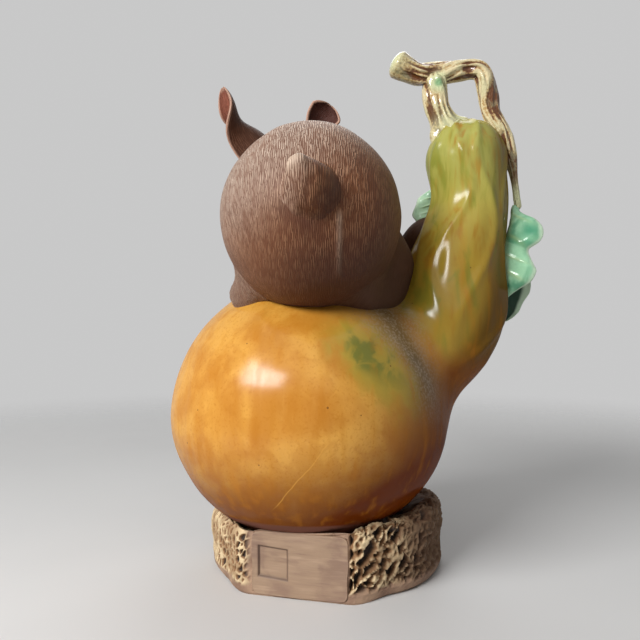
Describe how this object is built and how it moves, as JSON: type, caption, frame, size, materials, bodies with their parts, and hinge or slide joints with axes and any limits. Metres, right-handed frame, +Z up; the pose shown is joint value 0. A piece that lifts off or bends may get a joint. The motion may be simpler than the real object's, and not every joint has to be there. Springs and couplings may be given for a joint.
{
  "type": "rabbit figurine",
  "caption": "Ceramic ornament of a combed-fur rabbit crouching on a glazed calabash gourd with a vine loop and leaf, seated in a porous rock base.",
  "frame": {"origin": "underside of the rock, below the middle of its footprint", "axes": "+Z up, +Y the way the rabbit faces, +X towards the gourd's neck"},
  "size_m": [0.2435, 0.2376, 0.3418],
  "materials": {
    "rock": "porous unglazed stoneware, cream on the ridges and dark brown in the holes",
    "slab": "smooth washed stoneware",
    "amber_glaze": "glossy amber glaze with a green run",
    "olive_glaze": "glossy olive glaze running into amber",
    "bark_glaze": "thin cream glaze over carved bark, brown and green in the grooves",
    "green_glaze": "thick glossy green glaze, pale on the edges",
    "clay": "unglazed brown stoneware with combed fur",
    "bead": "glossy black glaze"
  },
  "bodies": {
    "root": {"rock_base": "rock", "rock_panel": "slab", "gourd_bulb": "amber_glaze", "gourd_neck": "olive_glaze", "gourd_stem": "bark_glaze", "vine": "bark_glaze", "leaf_large": "green_glaze", "leaf_small": "green_glaze", "rabbit_body": "clay", "rabbit_head": "clay", "ear_left": "clay", "ear_right": "clay", "tail": "clay", "hind_leg_left": "clay", "hind_leg_right": "clay", "fore_leg_left": "clay", "fore_leg_right": "clay", "eye_left": "bead", "eye_right": "bead"}
  },
  "joints": []
}
